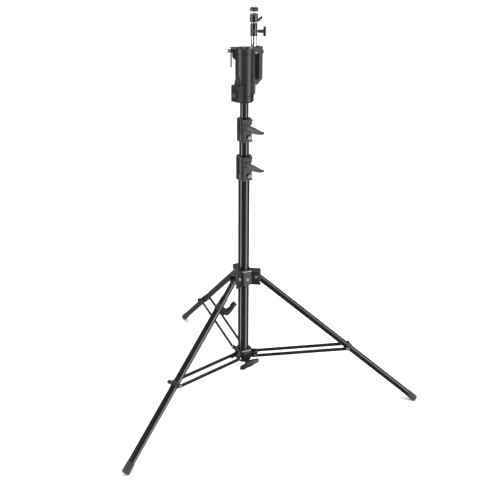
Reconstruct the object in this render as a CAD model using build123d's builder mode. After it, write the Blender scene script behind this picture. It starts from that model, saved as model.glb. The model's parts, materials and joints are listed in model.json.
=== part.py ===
from build123d import *
import os
from math import atan2, cos, degrees, radians, sin, sqrt

os.makedirs("parts", exist_ok=True)

# A folding lighting stand: a three-legged base, a column of three telescoping tubes with lever
# collars, and a cast head that holds a junior spigot or, on a flip-up pin, a small ball head.
# Frame: +Z up along the column, the floor at z = 0, the right leg along +X. Millimetres.

# ---- column tubes ----
base_radius = 17.5
base_wall = 1.5
base_bottom = 120
base_top = 786
mid_radius = 15
mid_wall = 1.2
mid_bottom = 174
mid_top = 902
top_radius = 12.5
top_wall = 1.5
top_bottom = 222
top_top = 1028

run = 0.08          # radial clearance of a pin or tube that turns or slides in its hole
gap = 0.3           # clearance between moving neighbours

# ---- folding base ----
leg_bearings = {"right": 0, "rear": 120, "level": 240}
pivot_reach = 42            # leg and brace hinge pins, from the column's axis
leg_pivot_z = 425.8
foot_reach = 565
foot_axis_z = 12
leg_radius = 10
leg_wall = 1.2
leg_end_behind = 7          # tube beyond its hinge pin
inner_leg_radius = 9.5
outer_leg_radius = 11
outer_leg_wall = 1.2
outer_leg_start = 73        # along the leg, from its hinge pin
inner_leg_end = 420
bracket_at = 382.2          # brace pivot, along the leg
brace_pivot_z = 144
bar_inner = 15.8            # brace bars stand outside the leg brackets
bar_thick = 4
bar_height = 10
pin_radius = 4
rivet_radius = 3

# ---- collars ----
lower_collar = (745, 816)
upper_collar = (863, 930)
collar_bearing = -60

# ---- head ----
head_bottom = 979
head_top = 1134
head_radius = 26.5
socket_radius = 14.4
socket_floor = 1034
frame_bearing = 45          # side frame that carries the flip-up pin
lock_bearing = 186          # junior spigot lock screw
clamp_bearing = 231         # riser clamp block
window = (29.5, 46.5)
window_z = (1041, 1119)
frame_half = 11
frame_reach = 59
pivot_z = 1118
lock_z = 1128

# ---- flip-up pin and ball head ----
baby_reach = 38
baby_offset = 5
baby_radius = 8
baby_top = 1190
receiver = (1164, 1200)
receiver_radius = 10
knob_z = 1177
knob_bearing = 6
housing = (1202.5, 1225.5)
housing_radius = 11.6
ball_z = 1220.5
ball_radius = 8
stem_radius = 2.8
disc = (1232.5, 1243.5)
disc_radius = 12
stud_radius = 3.175
stud_top = 1249


def save(piece, label):
    piece.part.label = label
    export_step(piece.part, f"parts/{label}.step")


def outward(bearing):
    return Vector(cos(radians(bearing)), sin(radians(bearing)), 0)


def across(bearing):
    return Vector(-sin(radians(bearing)), cos(radians(bearing)), 0)


def radial(bearing, z, reach=0.0, side=0.0):
    """Plane facing outwards at a bearing: x goes round the column, y goes up."""
    origin = outward(bearing) * reach + across(bearing) * side + Vector(0, 0, z)
    return Plane(origin=origin, x_dir=across(bearing), z_dir=outward(bearing))


def upright(bearing):
    """Vertical plane through the column: x is the distance from its axis, y is the height."""
    return Plane(origin=(0, 0, 0), x_dir=outward(bearing), z_dir=across(bearing) * -1)


def from_axis(edge):
    middle = edge.center()
    return round(sqrt(middle.X ** 2 + middle.Y ** 2), 1)


def tube(label, radius, wall, low, high):
    with BuildPart() as piece:
        with BuildSketch(Plane.XY.offset(low)):
            Circle(radius)
            Circle(radius - wall, mode=Mode.SUBTRACT)
        extrude(amount=high - low)
    save(piece, label)


# ---- column ----
tube("base_tube", base_radius, base_wall, base_bottom, base_top)
tube("mid_tube", mid_radius, mid_wall, mid_bottom, mid_top)
tube("top_tube", top_radius, top_wall, top_bottom, top_top)

with BuildPart() as base_plug:
    with BuildSketch(Plane.XY.offset(base_bottom - 4)):
        Circle(base_radius)
    extrude(amount=4)
    with BuildSketch(Plane.XY.offset(base_bottom)):
        Circle(base_radius - base_wall)
    extrude(amount=6)
    fillet(base_plug.edges().filter_by(GeomType.CIRCLE).group_by(Axis.Z)[0], 2)
save(base_plug, "base_plug")


def guide(label, tube_radius, tube_wall, low, bore_radius):
    """Nylon sleeve and end ring on the foot of a riser, running inside the tube below it."""
    with BuildPart() as piece:
        with BuildSketch(Plane.XY.offset(low - 4)):
            Circle(bore_radius - run)
            Circle(tube_radius - tube_wall, mode=Mode.SUBTRACT)
        extrude(amount=4)
        with BuildSketch(Plane.XY.offset(low)):
            Circle(bore_radius - run)
            Circle(tube_radius, mode=Mode.SUBTRACT)
        extrude(amount=40)
    save(piece, label)


guide("mid_guide", mid_radius, mid_wall, mid_bottom, base_radius - base_wall)
guide("top_guide", top_radius, top_wall, top_bottom, mid_radius - mid_wall)


# ---- lever collars ----
bush_height = 28
bush_wall = 3
block_half = 15.5
collar_bolt_radius = 3
lever_pin_radius = 2.5
lever_pin_half = 14
lever_boss_radius = 6.5
lever_reach = 60
lever_fall = 11


def collar(name, span, outer_radius, tube_radius, tube_end, riser_radius):
    """Clamp casting on a tube's upper end, with its bush, bolt and lever."""
    low, high = span
    block_reach = outer_radius + 5
    pocket_z = high - 22
    lever_side = -9
    bolt_z = low + 14
    bolt_side = 4
    with BuildPart() as casting:
        with BuildSketch(Plane.XY.offset(low)):
            Circle(outer_radius)
            with PolarLocations(outer_radius, 7, start_angle=75, angular_range=180):
                Rectangle(4, 5)
        extrude(amount=high - low)
        with BuildSketch(Plane.XY.offset(low)):
            Circle(outer_radius + 2)
        extrude(amount=22)
        with BuildSketch(Plane.XY.offset(high - 5)):
            Circle(outer_radius + 1.5)
        extrude(amount=5)
        with BuildSketch(radial(collar_bearing, (low + high) / 2)):
            Rectangle(2 * block_half, high - low)
        extrude(amount=block_reach)
        fillet(casting.edges().filter_by(Axis.Z).sort_by_distance(outward(collar_bearing) * 99
               + Vector(0, 0, low))[:2], 3)
        for z in (low, high - 5):
            with BuildSketch(radial(collar_bearing, z + 2.5)):
                RectangleRounded(2 * block_half + 2, 5, 1)
            extrude(amount=block_reach + 1)
        # pocket that holds the lever's boss
        with BuildSketch(radial(collar_bearing, pocket_z, outer_radius - 5.5)):
            Rectangle(2 * block_half + 4, 12)
        extrude(amount=20, mode=Mode.SUBTRACT)
        with BuildSketch(Plane.XY.offset(low)):
            Circle(tube_radius)
        extrude(amount=tube_end - low, mode=Mode.SUBTRACT)
        with BuildSketch(Plane.XY.offset(low)):
            Circle(riser_radius + 0.5)
        extrude(amount=high - low, mode=Mode.SUBTRACT)
        with BuildSketch(Plane.XY.offset(high - bush_height)):
            Circle(riser_radius + bush_wall)
        extrude(amount=bush_height - 3, mode=Mode.SUBTRACT)
        boss = radial(collar_bearing, pocket_z, outer_radius + 1.5, lever_side)
        with BuildSketch(Plane(boss.origin)):
            Circle(lever_pin_radius)
        extrude(amount=lever_pin_half, both=True, mode=Mode.SUBTRACT)
        with BuildSketch(radial(collar_bearing, bolt_z, block_reach, bolt_side)):
            Circle(6.5)
        extrude(amount=3)
        with BuildSketch(radial(collar_bearing, bolt_z, outer_radius - 3, bolt_side)):
            Circle(collar_bolt_radius)
        extrude(amount=20, mode=Mode.SUBTRACT)
    save(casting, f"{name}_collar")

    with BuildPart() as bush:
        with BuildSketch(Plane.XY.offset(high - bush_height)):
            Circle(riser_radius + bush_wall)
            Circle(riser_radius + run, mode=Mode.SUBTRACT)
        extrude(amount=bush_height - 3)
    save(bush, f"{name}_bush")

    with BuildPart() as bolts:
        with BuildSketch(radial(collar_bearing, bolt_z, outer_radius - 3, bolt_side)):
            Circle(collar_bolt_radius)
        extrude(amount=block_reach + 6 - outer_radius)
        with BuildSketch(radial(collar_bearing, bolt_z, block_reach + 3, bolt_side)):
            Circle(5)
            RegularPolygon(2.3, 6, mode=Mode.SUBTRACT)
        extrude(amount=4.5)
        with BuildSketch(Plane(boss.origin)):
            Circle(lever_pin_radius)
        extrude(amount=lever_pin_half, both=True)
    save(bolts, f"{name}_bolts")

    # lever: a leaf-shaped blade on a boss, leaning a little down towards its tip
    blade_bearing = collar_bearing + 37
    along = outward(blade_bearing)
    blade = Plane(origin=boss.origin, x_dir=along, z_dir=across(blade_bearing) * -1)
    with BuildPart() as lever:
        with BuildSketch(Plane(boss.origin + Vector(0, 0, -5.6))):
            Circle(lever_boss_radius)
        extrude(amount=11.2)
        with BuildSketch(blade):
            with BuildLine():
                Spline((4, 4.5), (24, 3.5), (lever_reach, 4 - lever_fall),
                       tangents=((1, 0.1), (0.9, -0.35)))
                Line((lever_reach, 4 - lever_fall), (lever_reach, -4 - lever_fall))
                Spline((lever_reach, -4 - lever_fall), (27, -12.5), (9, -4.5),
                       tangents=((-1, 0.15), (-0.7, 0.7)))
                Line((9, -4.5), (4, -4.5))
                Line((4, -4.5), (4, 4.5))
            make_face()
        extrude(amount=3, both=True)
        with BuildSketch(Plane(origin=blade.origin + along * lever_reach
                               + Vector(0, 0, -lever_fall), x_dir=along, z_dir=blade.z_dir)):
            Circle(4.2)
        extrude(amount=4, both=True)
        with BuildSketch(Plane(boss.origin)):
            Circle(lever_pin_radius + run)
        extrude(amount=lever_pin_half, both=True, mode=Mode.SUBTRACT)
    save(lever, f"{name}_lever")


collar("lower", lower_collar, 22, base_radius, base_top, mid_radius)
collar("upper", upper_collar, 19.5, mid_radius, mid_top, top_radius)

# ---- hub: three pairs of ears clamped to the base tube ----
hub_bottom = 400
hub_top = 443
hub_roof = 438.5
hub_barrel = 27
ear_inner = 10.4
ear_outer = 16
ear_reach = 54
hub_lip = 3
lip_height = 4
slot_start = 28.5           # the column side of the slots that the legs swing in
boss_bearing = 300
boss_width = 27
hub_bolt_z = 420
hub_bolt_radius = 3.5

with BuildPart() as hub:
    with BuildSketch(Plane.XY.offset(hub_bottom)):
        Circle(hub_barrel)
        with PolarLocations(ear_reach / 2, 3):
            Rectangle(ear_reach, 2 * ear_outer)
    extrude(amount=hub_top - hub_bottom)
    fillet(hub.edges().filter_by(Axis.Z).group_by(from_axis)[-1], 4)
    with BuildSketch(radial(boss_bearing, (hub_bottom + hub_top) / 2)):
        RectangleRounded(boss_width, hub_top - hub_bottom, 2)
    extrude(amount=hub_barrel + 4)
    with BuildSketch(Plane.XY.offset(hub_bottom)):
        Circle(hub_barrel + hub_lip)
        with PolarLocations((ear_reach + hub_lip) / 2, 3):
            RectangleRounded(ear_reach + hub_lip, 2 * (ear_outer + hub_lip), 5)
    extrude(amount=lip_height)
    with BuildSketch(Plane.XY.offset(hub_bottom)):
        with PolarLocations(slot_start + 20, 3):
            Rectangle(40, 2 * ear_inner)
    extrude(amount=hub_roof - hub_bottom, mode=Mode.SUBTRACT)
    with BuildSketch(Plane.XY.offset(hub_bottom)):
        Circle(base_radius)
    extrude(amount=hub_top - hub_bottom, mode=Mode.SUBTRACT)
    for bearing in leg_bearings.values():
        hinge = outward(bearing) * pivot_reach + Vector(0, 0, leg_pivot_z)
        with BuildSketch(Plane(origin=hinge, z_dir=across(bearing))):
            Circle(pin_radius)
        extrude(amount=20, both=True, mode=Mode.SUBTRACT)
    with BuildSketch(radial(boss_bearing, hub_bolt_z, hub_barrel)):
        Circle(7)
    extrude(amount=5, mode=Mode.SUBTRACT)
    with BuildSketch(radial(boss_bearing, hub_bolt_z, base_radius - 1)):
        Circle(hub_bolt_radius)
    extrude(amount=20, mode=Mode.SUBTRACT)
save(hub, "hub")

with BuildPart() as hub_bolt:
    with BuildSketch(radial(boss_bearing, hub_bolt_z, base_radius)):
        Circle(hub_bolt_radius)
    extrude(amount=hub_barrel - base_radius)
    with BuildSketch(radial(boss_bearing, hub_bolt_z, hub_barrel)):
        Circle(5.5)
        RegularPolygon(2.5, 6, mode=Mode.SUBTRACT)
    extrude(amount=5)
save(hub_bolt, "hub_bolt")


def wedge_plate(label, top):
    """Flat steel plate lying on a casting, against the base tube."""
    with BuildPart() as piece:
        with BuildSketch(radial(boss_bearing, top + 1.5, base_radius + 0.5)):
            RectangleRounded(28, 3, 1)
        extrude(amount=9)
    save(piece, label)


wedge_plate("hub_plate", hub_top)

with BuildPart() as hinge_pins:
    for bearing in leg_bearings.values():
        hinge = outward(bearing) * pivot_reach + Vector(0, 0, leg_pivot_z)
        with BuildSketch(Plane(origin=hinge, z_dir=across(bearing))):
            Circle(pin_radius)
        extrude(amount=ear_outer, both=True)
        for side in (-1, 1):
            head = hinge + across(bearing) * (side * ear_outer)
            with BuildSketch(Plane(origin=head, z_dir=across(bearing) * side)):
                Circle(5.5)
            extrude(amount=2.5, taper=20)
save(hinge_pins, "hinge_pins")

# ---- legs ----
leg_run = foot_reach - pivot_reach
leg_drop = leg_pivot_z - foot_axis_z
leg_slope = atan2(leg_drop, leg_run)
leg_length = sqrt(leg_run ** 2 + leg_drop ** 2)


def leg_direction(bearing):
    return outward(bearing) * cos(leg_slope) - Vector(0, 0, 1) * sin(leg_slope)


def leg_plane(bearing, along=0.0, side=0.0, above=0.0):
    """Plane square to a leg: x goes across the leg, y is its upper side, z runs to the foot."""
    direction = leg_direction(bearing)
    pivot = outward(bearing) * pivot_reach + Vector(0, 0, leg_pivot_z)
    upper = outward(bearing) * sin(leg_slope) + Vector(0, 0, 1) * cos(leg_slope)
    origin = pivot + direction * along + across(bearing) * side + upper * above
    return Plane(origin=origin, x_dir=across(bearing), z_dir=direction)


def leg_tube(label, bearing, radius, wall, start, end, pinned):
    with BuildPart() as piece:
        with BuildSketch(leg_plane(bearing, start)):
            Circle(radius)
            Circle(radius - wall, mode=Mode.SUBTRACT)
        extrude(amount=end - start)
        if pinned:
            with BuildSketch(Plane(origin=leg_plane(bearing).origin, z_dir=across(bearing))):
                Circle(pin_radius + run)
            extrude(amount=20, both=True, mode=Mode.SUBTRACT)
    save(piece, label)


tip_length = 34
tip_wall = 1.0
tip_base = 7                # solid rubber beyond the tube's end
tip_wear = 2.2              # how far the sole is worn below the round


def foot(label, bearing, radius, wall):
    """Rubber cap on the leg's end, worn flat where it stands on the floor."""
    cap_radius = radius + tip_wall
    end = (leg_pivot_z + tip_wear - cap_radius * cos(leg_slope)) / sin(leg_slope)
    with BuildPart() as piece:
        with BuildSketch(leg_plane(bearing, end - tip_length)):
            Circle(cap_radius)
        extrude(amount=tip_length)
        fillet(piece.edges().sort_by(Axis((0, 0, 0), leg_direction(bearing)))[-1], 2.5)
        with BuildSketch(leg_plane(bearing, end - tip_length)):
            Circle(radius)
        extrude(amount=tip_length - tip_base, mode=Mode.SUBTRACT)
        with BuildSketch(leg_plane(bearing, end - tip_length)):
            Circle(radius - wall)
        extrude(amount=tip_length - tip_base)
        with BuildSketch(leg_plane(bearing, end - tip_length)):
            Circle(radius - wall - 2)
        extrude(amount=tip_length - tip_base - 2, mode=Mode.SUBTRACT)
        split(bisect_by=Plane.XY, keep=Keep.TOP)
    save(piece, label)
    return end - tip_base


def bracket(label, bearing, bore):
    """Band round the leg, with a spacer each side that a brace bar hinges beside."""
    half = 8
    band = 1.8
    with BuildPart() as piece:
        with BuildSketch(leg_plane(bearing, bracket_at - half)):
            Circle(bore + band)
        extrude(amount=2 * half)
        with BuildSketch(Plane(origin=leg_plane(bearing, bracket_at).origin,
                               z_dir=across(bearing))):
            Circle(6.5)
        extrude(amount=bar_inner - gap, both=True)
        with BuildSketch(leg_plane(bearing, bracket_at - half)):
            Circle(bore)
        extrude(amount=2 * half, mode=Mode.SUBTRACT)
    save(piece, label)


for name, bearing in leg_bearings.items():
    if name == "level":
        foot_end = foot("level_foot", bearing, outer_leg_radius, outer_leg_wall)
        leg_tube("level_inner_tube", bearing, inner_leg_radius, leg_wall, -leg_end_behind,
                 inner_leg_end, True)
        leg_tube("level_outer_tube", bearing, outer_leg_radius, outer_leg_wall,
                 outer_leg_start, foot_end, False)
        bracket("level_bracket", bearing, outer_leg_radius + gap)
    else:
        foot_end = foot(f"{name}_foot", bearing, leg_radius, leg_wall)
        leg_tube(f"{name}_leg", bearing, leg_radius, leg_wall, -leg_end_behind, foot_end, True)
        bracket(f"{name}_bracket", bearing, leg_radius)

# ---- clamp on the levelling leg ----
level = leg_bearings["level"]
clamp_at = 110
clamp_half = 10
clamp_drop = 16             # bolt axis below the tube's axis
clamp_wall = 1.6
clamp_bolt_start = -7       # across the leg
clamp_lever_start = 15.4
level_bolt_radius = 3

with BuildPart() as level_clamp:
    with BuildSketch(leg_plane(level, clamp_at - clamp_half)):
        Circle(outer_leg_radius + clamp_wall)
        with Locations((4, -clamp_drop + 0.5)):
            RectangleRounded(22, 17, 3)
    extrude(amount=2 * clamp_half)
    with BuildSketch(leg_plane(level, clamp_at - clamp_half)):
        Circle(outer_leg_radius)
        with Locations((0, -clamp_drop)):
            Rectangle(2, 16)
    extrude(amount=2 * clamp_half, mode=Mode.SUBTRACT)
    cross = leg_plane(level, clamp_at, clamp_bolt_start, -clamp_drop)
    with BuildSketch(Plane(origin=cross.origin, z_dir=cross.x_dir)):
        Circle(level_bolt_radius)
    extrude(amount=22, mode=Mode.SUBTRACT)
save(level_clamp, "level_clamp")

with BuildPart() as level_bolt:
    with BuildSketch(Plane(origin=cross.origin, z_dir=cross.x_dir)):
        Circle(level_bolt_radius)
    extrude(amount=32)
    with BuildSketch(Plane(origin=cross.origin, z_dir=cross.x_dir * -1)):
        RegularPolygon(4.5, 6)
    extrude(amount=4)
save(level_bolt, "level_bolt")

hub_side = leg_plane(level, clamp_at, clamp_lever_start, -clamp_drop)
with BuildPart() as level_lever:
    with BuildSketch(Plane(origin=hub_side.origin, z_dir=hub_side.x_dir)):
        Circle(7)
    extrude(amount=9)
    with BuildSketch(Plane(origin=hub_side.origin, x_dir=hub_side.z_dir * -1,
                           z_dir=hub_side.y_dir * -1)):
        with BuildLine():
            Polyline((-9, 2), (-4, 0), (8, 0), (20, 8), (31, 6), (42, 12), (37, 24), (26, 21),
                     (12, 20), (0, 17), (-9, 11), (-9, 2))
        make_face()
    extrude(amount=4.5, both=True)
    with BuildSketch(Plane(origin=hub_side.origin, z_dir=hub_side.x_dir)):
        Circle(level_bolt_radius + run)
    extrude(amount=20, mode=Mode.SUBTRACT)
save(level_lever, "level_lever")

# ---- brace collar: slides on the base tube and folds the legs ----
slider_bottom = 130
slider_top = 160
slider_barrel = 27
fork_inner = 11.5            # the ears stand apart, so that the collar passes its legs
lock_z_low = 128
lock_radius = 4

with BuildPart() as brace_collar:
    with BuildSketch(Plane.XY.offset(slider_bottom)):
        Circle(slider_barrel)
    extrude(amount=slider_top - slider_bottom)
    for bearing in leg_bearings.values():
        with BuildSketch(upright(bearing)):
            with Locations((pivot_reach, brace_pivot_z)):
                Circle(8)
            with Locations((pivot_reach / 2, brace_pivot_z)):
                Rectangle(pivot_reach, 16)
        extrude(amount=bar_inner - gap, both=True)
        with BuildSketch(Plane.XY.offset(slider_bottom)):
            with Locations(outward(bearing) * (slider_barrel + 20)):
                Rectangle(40, 2 * fork_inner, rotation=bearing)
        extrude(amount=slider_top - slider_bottom, mode=Mode.SUBTRACT)
    with BuildSketch(radial(boss_bearing, (slider_bottom + slider_top) / 2)):
        RectangleRounded(boss_width, slider_top - slider_bottom, 2)
    extrude(amount=slider_barrel + 3)
    with BuildSketch(radial(boss_bearing, lock_z_low, base_radius)):
        Circle(8.5)
        with Locations((0, 6)):
            Rectangle(17, 12)
    extrude(amount=17)
    with BuildSketch(Plane.XY.offset(slider_bottom - 20)):
        Circle(base_radius + gap)
    extrude(amount=slider_top - slider_bottom + 40, mode=Mode.SUBTRACT)
    with BuildSketch(radial(boss_bearing, lock_z_low, base_radius)):
        Circle(lock_radius + run)
    extrude(amount=30, mode=Mode.SUBTRACT)
    for bearing in leg_bearings.values():
        with BuildSketch(Plane(origin=outward(bearing) * pivot_reach
                               + Vector(0, 0, brace_pivot_z), z_dir=across(bearing))):
            Circle(rivet_radius)
        extrude(amount=20, both=True, mode=Mode.SUBTRACT)
save(brace_collar, "brace_collar")
wedge_plate("brace_plate", slider_top)

with BuildPart() as brace_pins:
    for bearing in leg_bearings.values():
        hinge = outward(bearing) * pivot_reach + Vector(0, 0, brace_pivot_z)
        head_at = bar_inner + bar_thick + gap
        for side in (-1, 1):
            root = hinge + across(bearing) * (side * fork_inner)
            with BuildSketch(Plane(origin=root, z_dir=across(bearing) * side)):
                Circle(rivet_radius)
            extrude(amount=head_at - fork_inner)
            head = hinge + across(bearing) * (side * head_at)
            with BuildSketch(Plane(origin=head, z_dir=across(bearing) * side)):
                Circle(5)
            extrude(amount=2.2, taper=20)
save(brace_pins, "brace_pins")

with BuildPart() as brace_lever:
    with BuildSketch(radial(boss_bearing, lock_z_low, base_radius + 1)):
        Circle(lock_radius)
    extrude(amount=20)
    with BuildSketch(radial(boss_bearing, lock_z_low, base_radius + 17 + gap)):
        Circle(6.5)
    extrude(amount=14)
    with BuildSketch(radial(boss_bearing, lock_z_low, 47.5)):
        Polygon((-35, -9), (-31, 1), (-17, 3), (-10, 10), (14, 11), (27, 8), (34, 6), (30, -4),
                (13, -6), (6, -10), (-12, -10), (-25, -13), rotation=8, align=None)
    extrude(amount=9)
save(brace_lever, "brace_lever")

# ---- braces ----
brace_rise = leg_pivot_z - bracket_at * sin(leg_slope) - brace_pivot_z
brace_span = bracket_at * cos(leg_slope)
brace_length = sqrt(brace_rise ** 2 + brace_span ** 2)
brace_slope = atan2(brace_rise, brace_span)
nut_side = {"right": -1, "rear": -1, "level": 1}

for name, bearing in leg_bearings.items():
    start = outward(bearing) * pivot_reach + Vector(0, 0, brace_pivot_z)
    direction = outward(bearing) * cos(brace_slope) + Vector(0, 0, sin(brace_slope))
    end = start + direction * brace_length
    middle = (start + end) * 0.5
    with BuildPart() as bars:
        for side in (-1, 1):
            flat = Plane(origin=middle + across(bearing) * (side * bar_inner),
                         x_dir=direction, z_dir=across(bearing) * side)
            with BuildSketch(flat):
                SlotCenterToCenter(brace_length, bar_height)
                with Locations((-brace_length / 2, 0)):
                    Circle(rivet_radius + run, mode=Mode.SUBTRACT)
                with Locations((brace_length / 2, 0)):
                    Circle(rivet_radius, mode=Mode.SUBTRACT)
            extrude(amount=bar_thick)
    save(bars, f"{name}_brace")
    outside = bar_inner + bar_thick
    with BuildPart() as nut:
        side = nut_side[name]
        with BuildSketch(Plane(origin=end + across(bearing) * (side * bar_inner),
                               z_dir=across(bearing) * side)):
            Circle(rivet_radius)
        extrude(amount=bar_thick + 5)
        with BuildSketch(Plane(origin=end + across(bearing) * (side * outside),
                               z_dir=across(bearing) * side)):
            RegularPolygon(5, 6)
        extrude(amount=3.5)
    save(nut, f"{name}_brace_nut")
    with BuildPart() as knob:
        with BuildSketch(Plane(origin=end - across(bearing) * (side * bar_inner),
                               z_dir=across(bearing) * -side)):
            Circle(rivet_radius)
        extrude(amount=bar_thick)
        with BuildSketch(Plane(origin=end - across(bearing) * (side * outside),
                               z_dir=across(bearing) * -side)):
            Circle(6)
        extrude(amount=7)
        fillet(knob.faces().sort_by(Axis((0, 0, 0), across(bearing) * -side))[-1].edges(), 2)
    save(knob, f"{name}_brace_bolt")

# ---- head casting ----
clamp_reach = 37.7
clamp_bolt_z = 1003
clamp_bolt_radius = 4
band_low = 20               # height of the thicker band at the head's foot
band_high = 14
groove = (1.4, 0.9)         # width and depth of the turned line beside each band
lug_root = 20
lug_reach = 35.5
spigot_screw_radius = 4
pivot_bolt_radius = 3
with BuildPart() as head:
    with BuildSketch(Plane.XY.offset(head_bottom)):
        Circle(head_radius)
    extrude(amount=head_top - head_bottom)
    with BuildSketch(Plane.XY.offset(head_bottom)):
        Circle(head_radius + 1)
    extrude(amount=band_low)
    chamfer(head.edges().filter_by(GeomType.CIRCLE).group_by(Axis.Z)[0], 4)
    with BuildSketch(Plane.XY.offset(head_top - band_high)):
        Circle(head_radius + 1)
    extrude(amount=band_high)
    for z in (head_bottom + band_low, head_top - band_high - groove[0]):
        with BuildSketch(Plane.XY.offset(z)):
            Circle(head_radius + 2)
            Circle(head_radius - groove[1], mode=Mode.SUBTRACT)
        extrude(amount=groove[0], mode=Mode.SUBTRACT)
    # riser clamp block, its bolt boss and the rib above it
    with BuildSketch(radial(clamp_bearing, 1007)):
        RectangleRounded(32, 48, 1.5)
    extrude(amount=clamp_reach)
    with BuildSketch(radial(clamp_bearing, clamp_bolt_z)):
        Circle(9.5)
    extrude(amount=clamp_reach + 4.5)
    with BuildSketch(upright(clamp_bearing)):
        Polygon((20, 1030), (36, 1030), (31, 1050), (20, 1060), align=None)
    extrude(amount=6, both=True)
    # lug for the spigot lock screw
    with BuildSketch(radial(lock_bearing, lock_z, lug_root)):
        Circle(9)
    extrude(amount=lug_reach - lug_root)
    with BuildSketch(upright(lock_bearing)):
        Polygon((lug_root, lock_z), (lug_reach, lock_z), (lug_reach - 0.5, 1108), (27, 1101),
                (lug_root, 1096), align=None)
    extrude(amount=7, both=True)
    # side frame with the window for the folded pin
    with BuildSketch(upright(frame_bearing)):
        Polygon((20, head_top), (frame_reach, head_top), (frame_reach, 1041), (40, 1026),
                (20, 1026), align=None)
    extrude(amount=frame_half, both=True)
    with BuildSketch(upright(frame_bearing)):
        Polygon((20, 1030), (37, 1030), (37, 1001), (32, 995), (20, 995), align=None)
    extrude(amount=6, both=True)
    with BuildSketch(upright(frame_bearing)):
        with Locations(((window[0] + window[1]) / 2, (window_z[0] + window_z[1]) / 2)):
            RectangleRounded(window[1] - window[0], window_z[1] - window_z[0], 6)
    extrude(amount=frame_half + 1, both=True, mode=Mode.SUBTRACT)
    with BuildSketch(Plane(origin=upright(frame_bearing).origin - across(frame_bearing) * 7.5,
                           x_dir=outward(frame_bearing), z_dir=across(frame_bearing) * -1)):
        with Locations(((window[0] + window[1]) / 2, head_top - 12)):
            Rectangle(window[1] - window[0], 40)
    extrude(amount=-30, mode=Mode.SUBTRACT)
    with BuildSketch(upright(frame_bearing)):
        with Locations((31.5, 1013)):
            RectangleRounded(6, 22, 2)
    extrude(amount=-7, mode=Mode.SUBTRACT)
    # bores
    with BuildSketch(Plane.XY.offset(socket_floor)):
        Circle(socket_radius)
    extrude(amount=head_top - socket_floor, mode=Mode.SUBTRACT)
    with BuildSketch(Plane.XY.offset(head_top - 4)):
        Circle(socket_radius)
    extrude(amount=4.001, taper=-38, mode=Mode.SUBTRACT)
    with BuildSketch(Plane.XY.offset(head_bottom - 1)):
        Circle(top_radius)
    extrude(amount=top_top - head_bottom + 1, mode=Mode.SUBTRACT)
    with BuildSketch(radial(lock_bearing, lock_z, 5)):
        Circle(spigot_screw_radius + run)
    extrude(amount=40, mode=Mode.SUBTRACT)
    with BuildSketch(radial(clamp_bearing, clamp_bolt_z, top_radius - 1)):
        Circle(clamp_bolt_radius)
    extrude(amount=40, mode=Mode.SUBTRACT)
    with BuildSketch(radial(clamp_bearing, clamp_bolt_z, clamp_reach)):
        Circle(6.8)
    extrude(amount=10, mode=Mode.SUBTRACT)
    with BuildSketch(radial(frame_bearing, pivot_z, 22)):
        Circle(pivot_bolt_radius)
    extrude(amount=50, mode=Mode.SUBTRACT)
save(head, "head_casting")

with BuildPart() as clamp_bolt:
    with BuildSketch(radial(clamp_bearing, clamp_bolt_z, top_radius)):
        Circle(clamp_bolt_radius)
    extrude(amount=clamp_reach - top_radius)
    with BuildSketch(radial(clamp_bearing, clamp_bolt_z, clamp_reach)):
        Circle(6)
        RegularPolygon(2.8, 6, mode=Mode.SUBTRACT)
    extrude(amount=5)
save(clamp_bolt, "clamp_bolt")

with BuildPart() as pivot_bolt:
    with BuildSketch(radial(frame_bearing, pivot_z, 22)):
        Circle(pivot_bolt_radius)
    extrude(amount=47)
    with BuildSketch(radial(frame_bearing, pivot_z, frame_reach)):
        RegularPolygon(7, 6)
    extrude(amount=8.5)
save(pivot_bolt, "pivot_bolt")

cap_start = 40.2             # screw cap, outside the wing's disc
with BuildPart() as lock_screw:
    with BuildSketch(radial(lock_bearing, lock_z, 16)):
        Circle(spigot_screw_radius)
    extrude(amount=25)
    with BuildSketch(radial(lock_bearing, lock_z, cap_start)):
        Circle(7.5)
    extrude(amount=9.5)
    fillet(lock_screw.edges().sort_by(Axis((0, 0, 0), outward(lock_bearing)))[-1], 2.5)
save(lock_screw, "lock_screw")

with BuildPart() as lock_lever:
    with BuildSketch(radial(lock_bearing, lock_z, lug_reach + gap)):
        Circle(8.5)
    extrude(amount=cap_start - lug_reach - gap)
    with BuildSketch(radial(lock_bearing, lock_z, cap_start - 3.5)):
        Polygon((-7, 0), (7, 0), (5, -46), (3, -49), (-3, -49), (-5, -46), align=None)
    extrude(amount=3.5)
    with BuildSketch(radial(lock_bearing, lock_z, lug_reach)):
        Circle(spigot_screw_radius)
    extrude(amount=20, mode=Mode.SUBTRACT)
save(lock_lever, "lock_lever")

# ---- flip-up pin ----
baby_axis = outward(frame_bearing) * baby_reach + across(frame_bearing) * baby_offset


def over_pin(z):
    return Plane(origin=baby_axis + Vector(0, 0, z))


def beside_pin(bearing, z, reach):
    return Plane(origin=baby_axis + outward(bearing) * reach + Vector(0, 0, z),
                 x_dir=across(bearing), z_dir=outward(bearing))


with BuildPart() as baby_pin:
    with BuildSketch(radial(frame_bearing, pivot_z, window[0] + 0.5)):
        Circle(7)
    extrude(amount=window[1] - window[0] - 1)
    with BuildSketch(over_pin(pivot_z)):
        Circle(baby_radius)
    extrude(amount=baby_top - pivot_z)
    chamfer(baby_pin.edges().filter_by(GeomType.CIRCLE).group_by(Axis.Z)[-1], 1.5)
    with BuildSketch(over_pin(knob_z - 5)):
        Circle(baby_radius)
        Circle(baby_radius - 1.5, mode=Mode.SUBTRACT)
    extrude(amount=10, mode=Mode.SUBTRACT)
    with BuildSketch(radial(frame_bearing, pivot_z, 20)):
        Circle(pivot_bolt_radius + run)
    extrude(amount=40, mode=Mode.SUBTRACT)
save(baby_pin, "baby_pin")

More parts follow.
